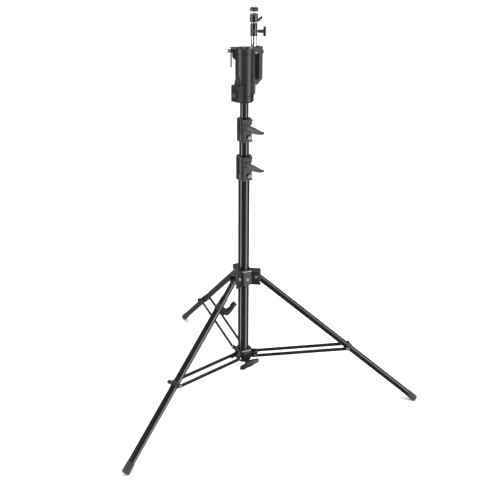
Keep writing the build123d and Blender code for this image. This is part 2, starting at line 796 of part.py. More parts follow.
# ---- receiver on the pin, with its T-knob ----
knob_screw_radius = 3
spy_bearing = 266           # hole that shows whether the pin is fully home
stud_radius_low = 4
with BuildPart() as receiver_body:
    with BuildSketch(over_pin(receiver[0])):
        Circle(receiver_radius)
    extrude(amount=receiver[1] - receiver[0])
    chamfer(receiver_body.edges().filter_by(GeomType.CIRCLE).group_by(Axis.Z)[-1], 2.2)
    with BuildSketch(over_pin(receiver[0])):
        Circle(baby_radius + run)
    extrude(amount=baby_top + 1 - receiver[0], mode=Mode.SUBTRACT)
    with BuildSketch(beside_pin(spy_bearing, knob_z, 0)):
        Circle(3.6)
    extrude(amount=20, mode=Mode.SUBTRACT)
    with BuildSketch(beside_pin(knob_bearing, knob_z, 2)):
        Circle(knob_screw_radius + run)
    extrude(amount=20, mode=Mode.SUBTRACT)
    with BuildSketch(over_pin(receiver[1] - 6)):
        Circle(stud_radius_low)
    extrude(amount=10, mode=Mode.SUBTRACT)
save(receiver_body, "receiver")

with BuildPart() as receiver_stud:
    with BuildSketch(over_pin(receiver[1] - 6)):
        Circle(stud_radius_low)
    extrude(amount=13)
    with BuildSketch(over_pin(receiver[1])):
        Circle(6.5)
    extrude(amount=housing[0] - receiver[1] - 0.2)
save(receiver_stud, "receiver_stud")

with BuildPart() as knob_screw:
    with BuildSketch(beside_pin(knob_bearing, knob_z, 7)):
        Circle(knob_screw_radius)
    extrude(amount=12)
save(knob_screw, "knob_screw")

neck_start = receiver_radius + 1
grip_start = 27
with BuildPart() as t_knob:
    with BuildSketch(beside_pin(knob_bearing, knob_z, neck_start)):
        Circle(3.8)
    with BuildSketch(beside_pin(knob_bearing, knob_z, 17)):
        Circle(5)
    loft()
    with BuildSketch(beside_pin(knob_bearing, knob_z, 17)):
        Circle(5)
    extrude(amount=grip_start + 2 - 17)
    with BuildSketch(beside_pin(knob_bearing, knob_z, grip_start)):
        SlotOverall(27.5, 8, rotation=90)
    extrude(amount=8)
    with BuildSketch(beside_pin(knob_bearing, knob_z, 7)):
        Circle(knob_screw_radius)
    extrude(amount=12, mode=Mode.SUBTRACT)
    fillet(t_knob.faces().sort_by(Axis((0, 0, 0), outward(knob_bearing)))[-1].edges(), 2)
save(t_knob, "t_knob")

# ---- ball head ----
notch_bearing = 186
ball_lock_z = 1209
with BuildPart() as ball_housing:
    with BuildSketch(over_pin(housing[0])):
        Circle(housing_radius)
    extrude(amount=housing[1] - housing[0])
    chamfer(ball_housing.edges().filter_by(GeomType.CIRCLE), 1)
    with BuildSketch(over_pin(housing[0])):
        Circle(stud_radius_low + run)
    extrude(amount=5, mode=Mode.SUBTRACT)
    with Locations(over_pin(ball_z)):
        Sphere(ball_radius + gap, mode=Mode.SUBTRACT)
    with BuildSketch(beside_pin(notch_bearing, ball_z, 0)):
        Circle(stem_radius + 0.5)
        with Locations((0, 5)):
            Rectangle(2 * stem_radius + 1, 10)
    extrude(amount=20, mode=Mode.SUBTRACT)
    with BuildSketch(beside_pin(knob_bearing, ball_lock_z, 5)):
        Circle(2.5 + run)
    extrude(amount=20, mode=Mode.SUBTRACT)
save(ball_housing, "ball_housing")

with BuildPart() as ball_lever:
    with BuildSketch(beside_pin(knob_bearing, ball_lock_z, 5.5)):
        Circle(2.5)
    extrude(amount=8)
    with BuildSketch(beside_pin(knob_bearing, ball_lock_z, housing_radius + 0.4)):
        Circle(4)
    extrude(amount=4.5)
    with BuildSketch(Plane(origin=beside_pin(knob_bearing, ball_lock_z, 0).origin,
                           x_dir=outward(knob_bearing), z_dir=across(knob_bearing) * -1)):
        Polygon((12.4, -2), (16, -3), (24, 5.5), (23.5, 9), (20.5, 9.5), (12.4, 3), align=None)
    extrude(amount=2.5, both=True)
save(ball_lever, "ball_lever")

with BuildPart() as ball_stem:
    with Locations(over_pin(ball_z)):
        Sphere(ball_radius)
    with BuildSketch(over_pin(ball_z)):
        Circle(stem_radius)
    extrude(amount=disc[1] - ball_z)
    with BuildSketch(over_pin(disc[1])):
        Circle(stud_radius)
    extrude(amount=stud_top - disc[1])
    chamfer(ball_stem.edges().filter_by(GeomType.CIRCLE).group_by(Axis.Z)[-1], 0.8)
save(ball_stem, "ball_stem")

with BuildPart() as mount_disc:
    with BuildSketch(over_pin(disc[0])):
        Circle(disc_radius)
        with PolarLocations(disc_radius, 24):
            Circle(0.7, mode=Mode.SUBTRACT)
        Circle(stem_radius + run, mode=Mode.SUBTRACT)
    extrude(amount=disc[1] - disc[0] - 1.2)
save(mount_disc, "mount_disc")

with BuildPart() as disc_pad:
    with BuildSketch(over_pin(disc[1] - 1.2)):
        Circle(disc_radius - 1.5)
        Circle(stud_radius + 0.4, mode=Mode.SUBTRACT)
    extrude(amount=1)
save(disc_pad, "disc_pad")

# ---- figures for the joints ----
folded_lean = 24            # of the legs from upright, where the fold stops
side_drop = bracket_at * cos(radians(folded_lean))
half_root = sqrt(side_drop ** 2 - bracket_at ** 2 + brace_length ** 2)
folded_gap = side_drop - half_root
folded_out = bracket_at * sin(radians(folded_lean))
folded_slope = atan2(side_drop - folded_gap, folded_out)
print("leg slope", degrees(leg_slope), "length", leg_length)
print("brace length", brace_length, "slope", degrees(brace_slope))
print("fold travel", leg_pivot_z - brace_pivot_z - folded_gap)
print("leg turn", 90 - folded_lean - degrees(leg_slope))
print("brace turn", degrees(brace_slope + folded_slope))
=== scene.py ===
# %% [markdown]
# # A folding lighting stand
#
# This lesson dresses a lighting stand: three folding legs, a column of three telescoping
# tubes held by lever collars, and a cast head that carries a small ball head on a flip-up
# pin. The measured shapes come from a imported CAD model, in metres, +Z up, with the right leg
# along +X. Shapes that are already right keep their mesh and get a good finish. The small
# fittings that the eye goes to are modelled again with more detail.

# %% Load the frame
import json
from math import atan2, cos, degrees, pi, radians, sin, sqrt

import bpy
from mathutils import Matrix, Vector


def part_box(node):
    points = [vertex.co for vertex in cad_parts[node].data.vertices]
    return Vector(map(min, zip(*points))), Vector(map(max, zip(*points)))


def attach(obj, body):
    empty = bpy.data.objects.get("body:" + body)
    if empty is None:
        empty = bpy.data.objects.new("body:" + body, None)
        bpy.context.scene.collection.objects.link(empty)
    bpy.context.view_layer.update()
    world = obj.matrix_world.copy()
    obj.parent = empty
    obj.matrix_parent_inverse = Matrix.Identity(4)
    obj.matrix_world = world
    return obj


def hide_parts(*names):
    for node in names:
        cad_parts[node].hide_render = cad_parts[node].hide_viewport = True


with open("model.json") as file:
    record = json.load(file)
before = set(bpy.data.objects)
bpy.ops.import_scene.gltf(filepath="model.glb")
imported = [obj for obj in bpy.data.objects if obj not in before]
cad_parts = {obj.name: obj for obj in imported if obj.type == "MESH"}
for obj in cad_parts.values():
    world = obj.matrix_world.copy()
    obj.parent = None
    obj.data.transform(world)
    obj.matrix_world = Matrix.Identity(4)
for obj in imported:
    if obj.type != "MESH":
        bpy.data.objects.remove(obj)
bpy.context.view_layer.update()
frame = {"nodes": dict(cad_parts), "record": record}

nodes = frame["nodes"]
MM = 0.001

# %% [markdown]
# ## The camera
#
# The camera stands well back with a long lens and looks down on the stand, so its legs open
# out below it. The stand is turned a few degrees from the camera's own axes, so the camera's
# place is worked out in a straight frame first and then turned with it.

# %% Set the camera
TURN = radians(6.12)
PITCH = 0.392348  # radians below level
YAW = 0.0081495
ROLL = 0.0075888
BACK = 2.457755  # metres from the column
HEIGHT = 1.526187
LENS = 61.01  # millimetres
SENSOR = 36.0

camera_data = bpy.data.cameras.new("camera")
camera_data.lens = LENS
camera_data.sensor_width = SENSOR
camera = bpy.data.objects.new("camera", camera_data)
bpy.context.scene.collection.objects.link(camera)
aim = Matrix.Rotation(TURN - YAW, 4, "Z") @ Matrix.Rotation(pi / 2 - PITCH, 4, "X")
aim = aim @ Matrix.Rotation(ROLL, 4, "Z")
place = Vector((BACK * sin(TURN), -BACK * cos(TURN), HEIGHT))
camera.matrix_world = Matrix.Translation(place) @ aim
bpy.context.scene.camera = camera
print("camera at", place)

# %% [markdown]
# ## Floor and light
#
# A pale floor, four soft boxes and one wide sun make a plain studio. One box hangs overhead
# and one stands behind. Black tube shows almost nothing but what it mirrors, so two tall,
# narrow boxes stand beside the camera: a cool one on the left and a warm one on the right
# draw the two streaks that run down a gloss tube. They reach below the floor, and the floor
# is hidden from mirror rays, because a tube seen from above mirrors what is low down. A large
# white dome stands behind everything, for low views that look past the floor's edge; it
# glows for the camera alone and lights nothing.

# %% Lay the floor
FLOOR_SIZE = 60
BACKDROP_RADIUS = 28
FLOOR_GREY = (0.9, 0.9, 0.9, 1)
BLACK = (0, 0, 0, 1)
WHITE = (1, 1, 1, 1)
WORLD_STRENGTH = 0.22

bpy.ops.object.select_all(action="DESELECT")
bpy.ops.mesh.primitive_plane_add(size=FLOOR_SIZE, location=(0, 0, 0))
floor = bpy.context.object
floor.name = "studio_floor"
floor.visible_glossy = False
floor.visible_shadow = False

floor_paint = bpy.data.materials.new("floor_paint")
floor_paint.use_nodes = True
floor_shader = floor_paint.node_tree.nodes["Principled BSDF"]
floor_shader.inputs["Base Color"].default_value = FLOOR_GREY
floor_shader.inputs["Roughness"].default_value = 0.9
floor_shader.inputs["Specular IOR Level"].default_value = 0.1
floor.data.materials.append(floor_paint)

bpy.ops.mesh.primitive_uv_sphere_add(segments=48, ring_count=24, radius=BACKDROP_RADIUS)
backdrop = bpy.context.object
backdrop.name = "white_backdrop"
backdrop.visible_diffuse = False
backdrop.visible_glossy = False
backdrop.visible_transmission = False
backdrop.visible_shadow = False
backdrop_paint = bpy.data.materials.new("backdrop_glow")
backdrop_paint.use_nodes = True
glow = backdrop_paint.node_tree.nodes["Principled BSDF"]
glow.inputs["Base Color"].default_value = BLACK
glow.inputs["Specular IOR Level"].default_value = 0
glow.inputs["Emission Color"].default_value = WHITE
glow.inputs["Emission Strength"].default_value = 1.0
backdrop.data.materials.append(backdrop_paint)

world = bpy.data.worlds.new("studio")
bpy.context.scene.world = world
world.use_nodes = True
background = world.node_tree.nodes["Background"]
background.inputs["Color"].default_value = WHITE
background.inputs["Strength"].default_value = WORLD_STRENGTH
bpy.context.scene.view_settings.view_transform = "Standard"
print("stage:", floor.name, backdrop.name)


# %% Hang the soft boxes
def soft_box(name, at, look, size, power, colour):
    """A rectangular lamp at a point, facing another point."""
    lamp = bpy.data.lights.new(name, "AREA")
    lamp.shape = "RECTANGLE"
    lamp.size = size[0]
    lamp.size_y = size[1]
    lamp.energy = power
    lamp.color = colour
    box = bpy.data.objects.new(name, lamp)
    bpy.context.scene.collection.objects.link(box)
    box.location = at
    box.rotation_euler = (Vector(look) - Vector(at)).to_track_quat("-Z", "Y").to_euler()


COOL = (0.74, 0.78, 1.0)
WARM = (1.0, 0.98, 0.88)
NEUTRAL = (1, 1, 1)
SKY_POWER = 3.1
SKY_WIDTH = radians(70)
soft_box("overhead_box", (0.3, -0.5, 3.6), (0, 0, 0.4), (1.3, 1.3), 40, NEUTRAL)
soft_box("left_box", (-1.95, -1.45, 0.6), (0, 0, 0.6), (0.65, 3.8), 72, COOL)
soft_box("right_box", (2.05, -0.83, 0.6), (0, 0, 0.6), (1.2, 3.8), 64, WARM)
soft_box("back_box", (-1.6, 2.4, 1.6), (-0.2, 0.3, 0.4), (1.6, 1.6), 45, NEUTRAL)

sky = bpy.data.lights.new("sky_light", "SUN")
sky.energy = SKY_POWER
sky.angle = SKY_WIDTH
sky_lamp = bpy.data.objects.new("sky_light", sky)
bpy.context.scene.collection.objects.link(sky_lamp)
sky_lamp.rotation_euler = (radians(12), radians(8), 0)
sky_lamp.visible_glossy = False

# %% [markdown]
# ## Building a finish
#
# Every finish is a small node tree around one Principled shader. Three things make painted
# metal look real close up: colour that drifts a little, roughness that drifts with handling,
# and corners where the coat has worn thin. The Bevel node finds the corners: it rounds the
# shading normal near an edge, and where that differs from the true normal there is an edge.


# %% Helpers for finishes
def new_finish(name):
    finish = bpy.data.materials.new(name)
    finish.use_nodes = True
    return finish, finish.node_tree, finish.node_tree.nodes["Principled BSDF"]


def add_node(tree, kind, **values):
    made = tree.nodes.new("ShaderNode" + kind)
    for key, value in values.items():
        if hasattr(made, key):
            setattr(made, key, value)
        else:
            made.inputs[key.replace("_", " ")].default_value = value
    return made


def place_pattern(tree, stretch=(1, 1, 1), turn=(0, 0, 0)):
    """Object coordinates, turned and stretched, for a pattern that follows the piece."""
    where = add_node(tree, "TexCoord")
    mapping = add_node(tree, "Mapping")
    mapping.inputs["Rotation"].default_value = turn
    mapping.inputs["Scale"].default_value = stretch
    tree.links.new(where.outputs["Object"], mapping.inputs["Vector"])
    return mapping.outputs["Vector"]


def noise(tree, vector, scale, detail=3.0, roughness=0.5):
    made = add_node(tree, "TexNoise")
    made.inputs["Scale"].default_value = scale
    made.inputs["Detail"].default_value = detail
    made.inputs["Roughness"].default_value = roughness
    tree.links.new(vector, made.inputs["Vector"])
    return made.outputs["Fac"]


def spread(tree, source, low, high, start=0.3, end=0.7):
    """Turns a 0 to 1 pattern into a range of values."""
    made = add_node(tree, "MapRange")
    made.inputs["From Min"].default_value = start
    made.inputs["From Max"].default_value = end
    made.inputs["To Min"].default_value = low
    made.inputs["To Max"].default_value = high
    tree.links.new(source, made.inputs["Value"])
    return made.outputs["Result"]


def blend_colour(tree, amount, first, second):
    """Mixes two colours, each a tuple or a socket, by a pattern."""
    made = add_node(tree, "Mix", data_type="RGBA")
    tree.links.new(amount, made.inputs[0])
    for socket, colour in ((made.inputs[6], first), (made.inputs[7], second)):
        if isinstance(colour, tuple):
            socket.default_value = (*colour, 1)
        else:
            tree.links.new(colour, socket)
    return made.outputs[2]


def combine(tree, operation, first, second):
    """Arithmetic on two patterns or numbers."""
    made = add_node(tree, "Math", operation=operation)
    for socket, value in ((made.inputs[0], first), (made.inputs[1], second)):
        if isinstance(value, (int, float)):
            socket.default_value = value
        else:
            tree.links.new(value, socket)
    return made.outputs[0]


def worn_edges(tree, vector, radius, amount):
    """1 where an outside corner is rubbed, 0 elsewhere, broken up by a patchy noise."""
    bevel = add_node(tree, "Bevel", samples=4)
    bevel.inputs["Radius"].default_value = radius
    shape = add_node(tree, "NewGeometry")
    product = add_node(tree, "VectorMath", operation="DOT_PRODUCT")
    tree.links.new(bevel.outputs["Normal"], product.inputs[0])
    tree.links.new(shape.outputs["Normal"], product.inputs[1])
    edge = spread(tree, product.outputs["Value"], 1.0, 0.0, 0.72, 0.98)
    blotches = noise(tree, vector, 130, 4)
    patches = spread(tree, blotches, 0.0, 1.0, 0.62 - amount, 0.9 - amount)
    return combine(tree, "MULTIPLY", edge, patches)


def raise_surface(tree, shader, height, depth, strength=1.0, rounding=0.0):
    """Joins a height pattern, and softly rounded corners, to the shader's normal."""
    bump = add_node(tree, "Bump")
    if rounding:
        soft = add_node(tree, "Bevel", samples=4)
        soft.inputs["Radius"].default_value = rounding
        tree.links.new(soft.outputs["Normal"], bump.inputs["Normal"])
    bump.inputs["Strength"].default_value = strength
    bump.inputs["Distance"].default_value = depth
    tree.links.new(height, bump.inputs["Height"])
    tree.links.new(bump.outputs["Normal"], shader.inputs["Normal"])


# %% [markdown]
# ## Black tube
#
# The column and legs are steel tube with a baked gloss coat. The coat is dark blue-black and
# nearly smooth. What breaks it up is use: long, faint rubs where a tube slides in the one
# below. The rubs run along the tube, so the noise is stretched along the tube's own
# direction, which for a leg needs the pattern turned to lie along it.

# %% Gloss coat for tubes
DARK_COAT = (0.002, 0.002, 0.003)
THIN_COAT = (0.005, 0.005, 0.007)


def tube_coat(name, turn, roughness):
    """A gloss coat whose rubs run along local z after the pattern is turned."""
    finish, tree, shader = new_finish(name)
    along = place_pattern(tree, stretch=(1, 1, 0.035), turn=turn)
    even = place_pattern(tree)
    rubs = noise(tree, along, 900, 4, 0.6)
    drift = noise(tree, even, 9, 3)
    grain = noise(tree, even, 2600, 2)
    colour = blend_colour(tree, spread(tree, drift, 0, 1), DARK_COAT, THIN_COAT)
    tree.links.new(colour, shader.inputs["Base Color"])
    tone = combine(tree, "ADD", spread(tree, rubs, -0.05, 0.07),
                   spread(tree, drift, roughness - 0.03, roughness + 0.05))
    tree.links.new(tone, shader.inputs["Roughness"])
    skin = combine(tree, "ADD", combine(tree, "MULTIPLY", rubs, 0.6),
                   combine(tree, "MULTIPLY", grain, 0.4))
    raise_surface(tree, shader, skin, 0.000006, 0.5)
    shader.inputs["Coat Weight"].default_value = 0.35
    shader.inputs["Coat Roughness"].default_value = 0.12
    return finish


LEG_BEARINGS = {"right": 0, "rear": 120, "level": 240}

# The leg's box gives its slope nearly enough to lay a pattern along it. The feet need the
# true slope, which they take from the levelling joint.
leg_low, leg_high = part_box("right_leg")
box_slope = atan2(leg_high.z - leg_low.z, leg_high.x - leg_low.x)
column_coat = tube_coat("column_gloss_coat", (0, 0, 0), 0.16)
leg_coats = {}
for leg, bearing in LEG_BEARINGS.items():
    straighten = (Matrix.Rotation(-(pi / 2 + box_slope), 3, "Y")
                  @ Matrix.Rotation(-radians(bearing), 3, "Z"))
    leg_coats[leg] = tube_coat(f"{leg}_leg_gloss_coat", tuple(straighten.to_euler()), 0.12)
print("leg slope from its box", round(degrees(box_slope), 1), "degrees")

# %% [markdown]
# ## Cast and coated fittings
#
# The collars, hub, sliding collar and head are aluminium castings with a satin powder coat.
# Powder melts into a skin with fine orange peel, about half a millimetre across. It wears to
# a lighter grey at the corners.


# %% Satin powder coat
def powder_coat(name, dark, light, roughness, peel, wear):
    finish, tree, shader = new_finish(name)
    even = place_pattern(tree)
    drift = noise(tree, even, 22, 4)
    skin = noise(tree, even, peel, 2)
    fine = noise(tree, even, peel * 3.5, 1)
    colour = blend_colour(tree, spread(tree, drift, 0, 1), dark, light)
    rubbed = worn_edges(tree, even, 0.0009, wear)
    colour = blend_colour(tree, combine(tree, "MULTIPLY", rubbed, 0.7), colour,
                          (0.16, 0.16, 0.165))
    tree.links.new(colour, shader.inputs["Base Color"])
    tone = combine(tree, "ADD", spread(tree, drift, roughness - 0.06, roughness + 0.06),
                   spread(tree, fine, -0.03, 0.03))
    tree.links.new(tone, shader.inputs["Roughness"])
    height = combine(tree, "ADD", combine(tree, "MULTIPLY", skin, 0.7),
                     combine(tree, "MULTIPLY", fine, 0.3))
    raise_surface(tree, shader, height, 0.00006, 0.5, 0.0010)
    return finish


cast_coat = powder_coat("cast_satin_coat", (0.006, 0.006, 0.007), (0.013, 0.013, 0.014),
                        0.36, 1500, 0.12)
lever_coat = powder_coat("lever_satin_coat", (0.014, 0.016, 0.014), (0.028, 0.030, 0.026),
                         0.42, 1500, 0.2)
brace_coat = powder_coat("brace_satin_coat", (0.004, 0.004, 0.005), (0.009, 0.009, 0.010),
                         0.3, 1900, 0.16)
print("coats:", cast_coat.name, lever_coat.name, brace_coat.name)


# %% [markdown]
# ## Bright metal
#
# The bolts, nuts, rivets and the flip-up pin are plated. Plating over turned steel keeps the
# fine rings that the lathe left. Clear chrome is smooth; zinc on the plates is softer, with a
# faint cloudy spangle.


# %% Plated steel
def plated(name, colour, shade, roughness, ring_depth, cloud=14):
    finish, tree, shader = new_finish(name)
    even = place_pattern(tree)
    rings = noise(tree, place_pattern(tree, stretch=(0.06, 0.06, 1)), 2600, 2)
    smears = noise(tree, even, cloud * 12, 4)
    drift = noise(tree, even, cloud * 3, 2)
    mixed = blend_colour(tree, spread(tree, smears, 0, 1), colour, shade)
    tree.links.new(mixed, shader.inputs["Base Color"])
    tone = combine(tree, "ADD", spread(tree, smears, roughness - 0.04, roughness + 0.07),
                   spread(tree, drift, -0.02, 0.04))
    tree.links.new(tone, shader.inputs["Roughness"])
    raise_surface(tree, shader, rings, ring_depth, 0.5, 0.0004)
    shader.inputs["Metallic"].default_value = 1.0
    return finish


chrome = plated("chrome_plate", (0.80, 0.81, 0.83), (0.62, 0.63, 0.66), 0.2, 0.000004)
bolt_zinc = plated("dull_bolt_zinc", (0.34, 0.35, 0.34), (0.20, 0.21, 0.20), 0.3, 0.00001, 24)
zinc = plated("zinc_plate", (0.62, 0.63, 0.62), (0.45, 0.46, 0.46), 0.34, 0.00003, 30)
print("plating:", chrome.name, bolt_zinc.name, zinc.name)

# %% [markdown]
# ## Black anodised aluminium
#
# The receiver, ball housing and camera disc are turned from aluminium bar and dyed black as
# they are anodised. The dye leaves the metal's own sheen, so this finish is half metallic,
# with lathe rings, and bright bare metal where a corner has been knocked.

# %% Anodised finish
anodised, tree, shader = new_finish("black_anodised")
even = place_pattern(tree)
rings = noise(tree, place_pattern(tree, stretch=(0.05, 0.05, 1)), 3200, 2)
drift = noise(tree, even, 60, 3)
rubbed = worn_edges(tree, even, 0.0005, 0.1)
dyed = blend_colour(tree, spread(tree, drift, 0, 1), (0.002, 0.002, 0.003),
                    (0.006, 0.006, 0.008))
dyed = blend_colour(tree, rubbed, dyed, (0.35, 0.36, 0.38))
tree.links.new(dyed, shader.inputs["Base Color"])
tree.links.new(spread(tree, rings, 0.10, 0.20), shader.inputs["Roughness"])
raise_surface(tree, shader, rings, 0.00002, 0.6, 0.0005)
shader.inputs["Metallic"].default_value = 0.1
shader.inputs["Coat Weight"].default_value = 0.8
shader.inputs["Coat Roughness"].default_value = 0.06
print("made", anodised.name)

# %% [markdown]
# ## Plastic, nylon and rubber
#
# The knobs are moulded glass-filled nylon with a fine spark-eroded grain. Bushes and guides
# are plain nylon, a shade softer. The feet are rubber: matt, speckled, and dusty low down
# where they stand on floors.


# %% Moulded finishes
def moulded(name, dark, light, roughness, grain_size, depth):
    finish, tree, shader = new_finish(name)
    even = place_pattern(tree)
    grain = noise(tree, even, grain_size, 2, 0.6)
    drift = noise(tree, even, 45, 3)
    colour = blend_colour(tree, spread(tree, drift, 0, 1), dark, light)
    tree.links.new(colour, shader.inputs["Base Color"])
    tone = combine(tree, "ADD", spread(tree, grain, -0.05, 0.06),
                   spread(tree, drift, roughness - 0.04, roughness + 0.05))
    tree.links.new(tone, shader.inputs["Roughness"])
    raise_surface(tree, shader, grain, depth, 0.6, 0.0006)
    return finish


knob_plastic = moulded("moulded_black", (0.004, 0.004, 0.004), (0.009, 0.009, 0.010),
                       0.45, 2400, 0.00008)
nylon = moulded("bush_nylon", (0.030, 0.030, 0.031), (0.050, 0.050, 0.050),
                0.5, 1200, 0.00004)

foot_rubber, tree, shader = new_finish("foot_rubber")
even = place_pattern(tree)
speckle = noise(tree, even, 1400, 3, 0.7)
dust = noise(tree, even, 90, 5, 0.6)
where = add_node(tree, "TexCoord")
split = add_node(tree, "SeparateXYZ")
tree.links.new(where.outputs["Object"], split.inputs["Vector"])
low_down = spread(tree, split.outputs["Z"], 1.0, 0.0, 0.002, 0.030)
dusty = combine(tree, "MULTIPLY", low_down, spread(tree, dust, 0.0, 0.9, 0.4, 0.75))
black = blend_colour(tree, spread(tree, speckle, 0, 1), (0.012, 0.012, 0.012),
                     (0.026, 0.025, 0.024))
tree.links.new(blend_colour(tree, dusty, black, (0.09, 0.085, 0.08)),
               shader.inputs["Base Color"])
tree.links.new(combine(tree, "ADD", spread(tree, speckle, 0.5, 0.62),
                       combine(tree, "MULTIPLY", dusty, 0.3)), shader.inputs["Roughness"])
raise_surface(tree, shader, speckle, 0.00015, 0.5)
print("moulded:", knob_plastic.name, nylon.name, foot_rubber.name)

# %% [markdown]
# ## Dressing the CAD parts
#
# Each CAD part already knows its material slot, so the finishes are given out by slot. Tubes
# are told apart by name, because the pattern on a leg has to lie along that leg.

# %% Give out the finishes
SLOT_FINISH = {
    "black_steel": brace_coat,
    "cast_black": cast_coat,
    "chrome": chrome,
    "bright_plate": zinc,
    "black_anodised": anodised,
    "black_plastic": knob_plastic,
    "nylon": nylon,
    "rubber": foot_rubber,
}
slot_of = {part["node"]: part["material_slot"] for part in frame["record"]["subparts"]}
DULL_BOLTS = ("lower_bolts", "upper_bolts", "hub_bolt", "clamp_bolt", "pivot_bolt")


def finish_for(node_name):
    if node_name in DULL_BOLTS:
        return bolt_zinc
    if slot_of[node_name] == "black_tube":
        return leg_coats.get(node_name.split("_")[0], column_coat)
    return SLOT_FINISH[slot_of[node_name]]


for node_name, piece in nodes.items():
    piece.data.materials.clear()
    piece.data.materials.append(finish_for(node_name))
print("dressed", len(nodes), "parts")

# %% [markdown]
# ## Modelling the small fittings
#
# The tubes and castings keep their measured mesh. The fittings a hand touches are modelled
# again, because that is where the real stand has the most shape: leaf levers, wings, knobs,
# ribbed feet, washers and a knurled disc. Each new piece rides on the body its CAD part
# belongs to, so it moves with the same joint.

# %% Helpers for pieces
behaviour = frame["record"]["behaviour"]
body_of = {part: body for body, parts in behaviour["bodies"].items() for part in parts}
joint_called = {joint["name"]: joint for joint in behaviour["joints"]}


def only(piece):
    """Selects one piece and nothing else."""
    bpy.ops.object.select_all(action="DESELECT")
    piece.select_set(True)
    bpy.context.view_layer.objects.active = piece


def settle(piece):
    """Moves the piece's place into its mesh, so the object sits at the origin."""
    only(piece)
    bpy.ops.object.transform_apply(location=True, rotation=True, scale=True)


def point_along(piece, place, direction):
    """Turns local z to a direction and moves the piece to its place."""
    piece.rotation_euler = Vector(direction).to_track_quat("Z", "X").to_euler()
    piece.location = place
    settle(piece)


def finish_piece(piece, name, part, finish, hides=True, smooth=35):
    """Names a piece, gives it its finish and hangs it on the body of a CAD part."""
    only(piece)
    bpy.ops.object.shade_smooth_by_angle(angle=radians(smooth))
    piece.name = name
    piece.data.materials.clear()
    piece.data.materials.append(finish)
    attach(piece, body_of[part])
    if hides:
        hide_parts(part)
    print(name, len(piece.data.polygons), "faces")


def turned(outline, sides=64):
    """A lathe shape up local z, from (radius, height) pairs in millimetres."""
    radius, height = outline[0]
    bpy.ops.object.select_all(action="DESELECT")
    bpy.ops.mesh.primitive_circle_add(vertices=sides, radius=radius * MM, fill_type="NGON",
                                      location=(0, 0, height * MM))
    piece = bpy.context.object
    bpy.ops.object.mode_set(mode="EDIT")
    bpy.ops.mesh.select_all(action="SELECT")
    for next_radius, next_height in outline[1:]:
        bpy.ops.mesh.extrude_region_move(
            TRANSFORM_OT_translate={"value": (0, 0, (next_height - height) * MM)})
        grow = next_radius / radius
        bpy.ops.transform.resize(value=(grow, grow, 1))
        radius, height = next_radius, next_height
    bpy.ops.mesh.select_all(action="SELECT")
    bpy.ops.mesh.normals_make_consistent(inside=False)
    bpy.ops.object.mode_set(mode="OBJECT")
    return piece


def select_faces(piece, wanted):
    """In edit mode, selects the faces whose centre and normal pass a test."""
    bpy.ops.mesh.select_mode(type="FACE")
    bpy.ops.mesh.select_all(action="DESELECT")
    bpy.ops.object.mode_set(mode="OBJECT")
    for face in piece.data.polygons:
        face.select = wanted(face.center, face.normal)
    bpy.ops.object.mode_set(mode="EDIT")


def round_edges(piece, width, segments, sharp):
    """Bevels the edges of the active piece that are sharper than an angle in degrees."""
    rounding = piece.modifiers.new("rounding", "BEVEL")
    rounding.width = width
    rounding.segments = segments
    rounding.angle_limit = radians(sharp)
    bpy.ops.object.modifier_apply(modifier="rounding")


def join_all(pieces):
    """Joins pieces into the first one."""
    bpy.ops.object.select_all(action="DESELECT")
    for piece in pieces:
        piece.select_set(True)
    bpy.context.view_layer.objects.active = pieces[0]
    bpy.ops.object.join()
    return pieces[0]


# %% [markdown]
# ## Collar levers
#
# Each collar is clamped by a cast leaf lever that swings on an upright pin. Seen from the
# side the leaf is widest a third of the way out and ends in a small round bead for the
# thumb. Its two faces are dished, which saves metal and gives the fingers an edge. It is
# modelled by drawing a box out in steps, then insetting and sinking the long faces.

# %% Leaf levers
LEVER_BEARING = radians(-23)
LEAF_STEPS = ((13, 5.6, -8.0, 3.0), (23, 5.0, -14.0, 3.0), (33, 3.0, -16.0, 2.9),
              (45, -1.6, -16.0, 2.8), (57, -6.2, -15.4, 3.0))


def leaf_lever():
    """A dished leaf along local x, in millimetres from the pin: reach, top, bottom, half."""
    bpy.ops.object.select_all(action="DESELECT")
    bpy.ops.mesh.primitive_cube_add(size=1, location=(5.5 * MM, 0, 0),
                                    scale=(3 * MM, 6.4 * MM, 9 * MM))
    leaf = bpy.context.object
    settle(leaf)
    bpy.ops.object.mode_set(mode="EDIT")
    select_faces(leaf, lambda centre, normal: normal.x > 0.9)
    reach, top, bottom, half = 7, 4.5, -4.5, 3.2
    for next_reach, next_top, next_bottom, next_half in LEAF_STEPS:
        rise = (next_top + next_bottom - top - bottom) / 2
        bpy.ops.mesh.extrude_region_move(
            TRANSFORM_OT_translate={"value": ((next_reach - reach) * MM, 0, rise * MM)})
        bpy.ops.transform.resize(value=(1, next_half / half,
                                        (next_top - next_bottom) / (top - bottom)))
        reach, top, bottom, half = next_reach, next_top, next_bottom, next_half
    select_faces(leaf, lambda centre, normal: abs(normal.y) > 0.9 and centre.x > 0.008)
    bpy.ops.mesh.inset(thickness=1.3 * MM, depth=0)
    bpy.ops.mesh.inset(thickness=0.5 * MM, depth=-0.9 * MM)
    bpy.ops.object.mode_set(mode="OBJECT")
    round_edges(leaf, 0.5 * MM, 2, 25)
    smoothing = leaf.modifiers.new("smoothing", "SUBSURF")
    smoothing.levels = 2
    smoothing.render_levels = 2
    bpy.ops.object.modifier_apply(modifier="smoothing")
    bead = turned(((2.6, -4), (3.8, -3.6), (4.2, -2.8), (4.2, 2.8), (3.8, 3.6), (2.6, 4)),
                  40)
    point_along(bead, (59.2 * MM, 0, -11 * MM), (0, 1, 0))
    boss = turned(((5.2, -5.6), (6.1, -5.3), (6.5, -4.7), (6.5, 4.7), (6.1, 5.3),
                   (5.2, 5.6)), 48)
    settle(boss)
    return join_all([leaf, bead, boss])


